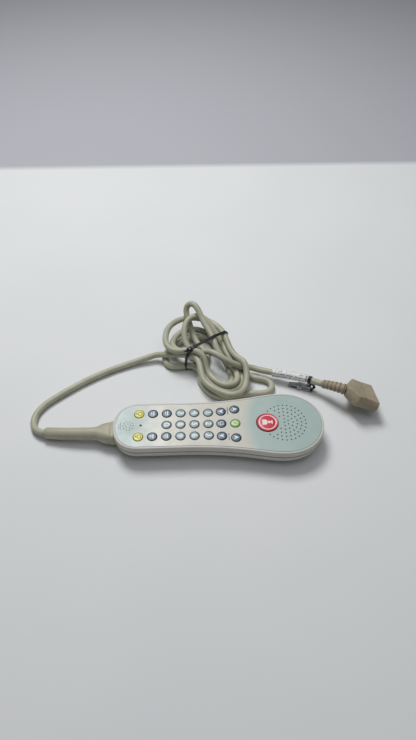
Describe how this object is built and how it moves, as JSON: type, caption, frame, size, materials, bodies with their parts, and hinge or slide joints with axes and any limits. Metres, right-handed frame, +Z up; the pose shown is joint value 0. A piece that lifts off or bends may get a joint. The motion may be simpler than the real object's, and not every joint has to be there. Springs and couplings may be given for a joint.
{
  "type": "bedside hand controller",
  "caption": "Keypad handset with call button, lamp keys and loudspeaker grille; corded, with the cord tied in a hank, a sheet clip and a multi-way plug.",
  "frame": {"origin": "centre of the handset case on the surface that it lies on; the cord, its boot and plug are left out", "axes": "+X along the case towards the loudspeaker end, +Y across it towards the tied hank of cord, +Z up out of the key face"},
  "size_m": [0.3774, 0.2131, 0.044],
  "materials": {
    "case_plastic": "satin moulded ABS, warm light grey-beige",
    "overlay_film": "printed polyester film, pale cyan ends and beige middle",
    "lamp_key": "yellow, satin",
    "dark_key": "slate blue, satin",
    "digit_key": "grey teal, satin",
    "green_key": "leaf green, satin",
    "red_key": "red with a white ring",
    "cord_pvc": "flexible PVC jacket, olive beige, slight sheen",
    "boot_pvc": "flexible PVC boot, warm beige",
    "hood_pvc": "moulded PVC, taupe",
    "black_nylon": "black nylon",
    "label_film": "white wrap label under clear film",
    "steel": "plated steel",
    "brass": "gold-coloured contacts",
    "circuit_board": "green solder mask",
    "dark_plastic": "black moulded plastic",
    "seal_rubber": "grey elastomer"
  },
  "bodies": {
    "handset": {"rear_housing": "case_plastic", "front_housing": "case_plastic", "housing_seal": "seal_rubber", "face_overlay": "overlay_film", "indicator_lamp": "dark_plastic", "dome_sheet": "steel", "main_board": "circuit_board", "wire_header": "dark_plastic", "cord_wires": "cord_pvc", "cord_clamp": "dark_plastic", "clamp_screw_1": "steel", "clamp_screw_2": "steel", "case_screw_1": "steel", "case_screw_2": "steel", "case_screw_3": "steel", "speaker_frame": "steel", "speaker_magnet": "dark_plastic", "speaker_cone": "dark_plastic", "speaker_gasket": "seal_rubber", "cord_boot": "boot_pvc", "cord_lead": "cord_pvc", "cord_hank": "cord_pvc", "cord_side_loop": "cord_pvc", "cord_tail": "cord_pvc", "cable_tie": "black_nylon", "cord_label": "label_film", "clip_base": "steel", "clip_pin": "steel", "clip_spring": "steel", "clip_strap": "black_nylon", "plug_hood": "hood_pvc", "plug_shell": "steel", "plug_insert": "dark_plastic", "plug_contacts": "brass", "plug_strain_relief": "hood_pvc"},
    "key_reading_lamp_cap": {"key_reading_lamp": "lamp_key"},
    "key_room_lamp_cap": {"key_room_lamp": "lamp_key"},
    "key_caption_cap": {"key_caption": "dark_key"},
    "key_mute_cap": {"key_mute": "dark_key"},
    "key_last_cap": {"key_last": "dark_key"},
    "key_0_cap": {"key_0": "digit_key"},
    "key_enter_cap": {"key_enter": "dark_key"},
    "key_volume_down_cap": {"key_volume_down": "dark_key"},
    "key_source_cap": {"key_source": "dark_key"},
    "key_channel_down_cap": {"key_channel_down": "dark_key"},
    "key_volume_up_cap": {"key_volume_up": "dark_key"},
    "key_power_cap": {"key_power": "green_key"},
    "key_channel_up_cap": {"key_channel_up": "dark_key"},
    "key_1_cap": {"key_1": "digit_key"},
    "key_2_cap": {"key_2": "digit_key"},
    "key_3_cap": {"key_3": "digit_key"},
    "key_4_cap": {"key_4": "digit_key"},
    "key_5_cap": {"key_5": "digit_key"},
    "key_6_cap": {"key_6": "digit_key"},
    "key_7_cap": {"key_7": "digit_key"},
    "key_8_cap": {"key_8": "digit_key"},
    "key_9_cap": {"key_9": "digit_key"},
    "call_button_cap": {"call_button": "red_key"},
    "clip_jaw_lever": {"clip_jaw": "steel"}
  },
  "joints": [
    {"name": "key_reading_lamp_press", "type": "slide", "parent": "handset", "child": "key_reading_lamp_cap", "axis": [0, 0, 1], "range_m": [-0.0006, 0], "stiffness_N_per_m": 300},
    {"name": "key_room_lamp_press", "type": "slide", "parent": "handset", "child": "key_room_lamp_cap", "axis": [0, 0, 1], "range_m": [-0.0006, 0], "stiffness_N_per_m": 300},
    {"name": "key_caption_press", "type": "slide", "parent": "handset", "child": "key_caption_cap", "axis": [0, 0, 1], "range_m": [-0.0006, 0], "stiffness_N_per_m": 300},
    {"name": "key_mute_press", "type": "slide", "parent": "handset", "child": "key_mute_cap", "axis": [0, 0, 1], "range_m": [-0.0006, 0], "stiffness_N_per_m": 300},
    {"name": "key_last_press", "type": "slide", "parent": "handset", "child": "key_last_cap", "axis": [0, 0, 1], "range_m": [-0.0006, 0], "stiffness_N_per_m": 300},
    {"name": "key_0_press", "type": "slide", "parent": "handset", "child": "key_0_cap", "axis": [0, 0, 1], "range_m": [-0.0006, 0], "stiffness_N_per_m": 300},
    {"name": "key_enter_press", "type": "slide", "parent": "handset", "child": "key_enter_cap", "axis": [0, 0, 1], "range_m": [-0.0006, 0], "stiffness_N_per_m": 300},
    {"name": "key_volume_down_press", "type": "slide", "parent": "handset", "child": "key_volume_down_cap", "axis": [0, 0, 1], "range_m": [-0.0006, 0], "stiffness_N_per_m": 300},
    {"name": "key_source_press", "type": "slide", "parent": "handset", "child": "key_source_cap", "axis": [0, 0, 1], "range_m": [-0.0006, 0], "stiffness_N_per_m": 300},
    {"name": "key_channel_down_press", "type": "slide", "parent": "handset", "child": "key_channel_down_cap", "axis": [0, 0, 1], "range_m": [-0.0006, 0], "stiffness_N_per_m": 300},
    {"name": "key_volume_up_press", "type": "slide", "parent": "handset", "child": "key_volume_up_cap", "axis": [0, 0, 1], "range_m": [-0.0006, 0], "stiffness_N_per_m": 300},
    {"name": "key_power_press", "type": "slide", "parent": "handset", "child": "key_power_cap", "axis": [0, 0, 1], "range_m": [-0.0006, 0], "stiffness_N_per_m": 300},
    {"name": "key_channel_up_press", "type": "slide", "parent": "handset", "child": "key_channel_up_cap", "axis": [0, 0, 1], "range_m": [-0.0006, 0], "stiffness_N_per_m": 300},
    {"name": "key_1_press", "type": "slide", "parent": "handset", "child": "key_1_cap", "axis": [0, 0, 1], "range_m": [-0.0006, 0], "stiffness_N_per_m": 300},
    {"name": "key_2_press", "type": "slide", "parent": "handset", "child": "key_2_cap", "axis": [0, 0, 1], "range_m": [-0.0006, 0], "stiffness_N_per_m": 300},
    {"name": "key_3_press", "type": "slide", "parent": "handset", "child": "key_3_cap", "axis": [0, 0, 1], "range_m": [-0.0006, 0], "stiffness_N_per_m": 300},
    {"name": "key_4_press", "type": "slide", "parent": "handset", "child": "key_4_cap", "axis": [0, 0, 1], "range_m": [-0.0006, 0], "stiffness_N_per_m": 300},
    {"name": "key_5_press", "type": "slide", "parent": "handset", "child": "key_5_cap", "axis": [0, 0, 1], "range_m": [-0.0006, 0], "stiffness_N_per_m": 300},
    {"name": "key_6_press", "type": "slide", "parent": "handset", "child": "key_6_cap", "axis": [0, 0, 1], "range_m": [-0.0006, 0], "stiffness_N_per_m": 300},
    {"name": "key_7_press", "type": "slide", "parent": "handset", "child": "key_7_cap", "axis": [0, 0, 1], "range_m": [-0.0006, 0], "stiffness_N_per_m": 300},
    {"name": "key_8_press", "type": "slide", "parent": "handset", "child": "key_8_cap", "axis": [0, 0, 1], "range_m": [-0.0006, 0], "stiffness_N_per_m": 300},
    {"name": "key_9_press", "type": "slide", "parent": "handset", "child": "key_9_cap", "axis": [0, 0, 1], "range_m": [-0.0006, 0], "stiffness_N_per_m": 300},
    {"name": "call_button_press", "type": "slide", "parent": "handset", "child": "call_button_cap", "axis": [0, 0, 1], "range_m": [-0.0007, 0], "stiffness_N_per_m": 500},
    {"name": "clip_jaw_open", "type": "hinge", "parent": "handset", "child": "clip_jaw_lever", "pos_m": [0.096, 0.0661, 0.0031], "axis": [0.342, 0.9397, 0], "range_deg": [0, 16], "stiffness_Nm_per_rad": 0.05, "springref_deg": -8.59}
  ]
}
